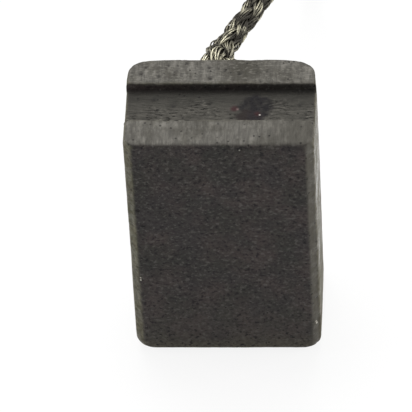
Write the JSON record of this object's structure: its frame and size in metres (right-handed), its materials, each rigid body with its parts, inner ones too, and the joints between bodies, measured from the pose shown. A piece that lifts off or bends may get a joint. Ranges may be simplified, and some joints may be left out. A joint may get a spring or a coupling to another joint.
{
  "type": "carbon brush",
  "caption": "Rectangular carbon brush with a slotted top, chamfered front edges, a braided metal shunt and a crimped ring terminal.",
  "frame": {"origin": "middle of the contact face, measured on the block without the shunt and its terminal", "axes": "+Z from the contact face up to the slotted top, -Y out of the chamfered front face, +Y out of the back face that the shunt leaves, +X to the right seen from the front"},
  "size_m": [0.0147, 0.0565, 0.02],
  "materials": {
    "carbon": "matte",
    "copper_compound": "matte",
    "tinned_braid": "satin",
    "tinned_terminal": "satin"
  },
  "bodies": {
    "root": {"carbon_block": "carbon", "tamping_compound": "copper_compound", "shunt": "tinned_braid", "ring_terminal": "tinned_terminal"}
  },
  "joints": []
}
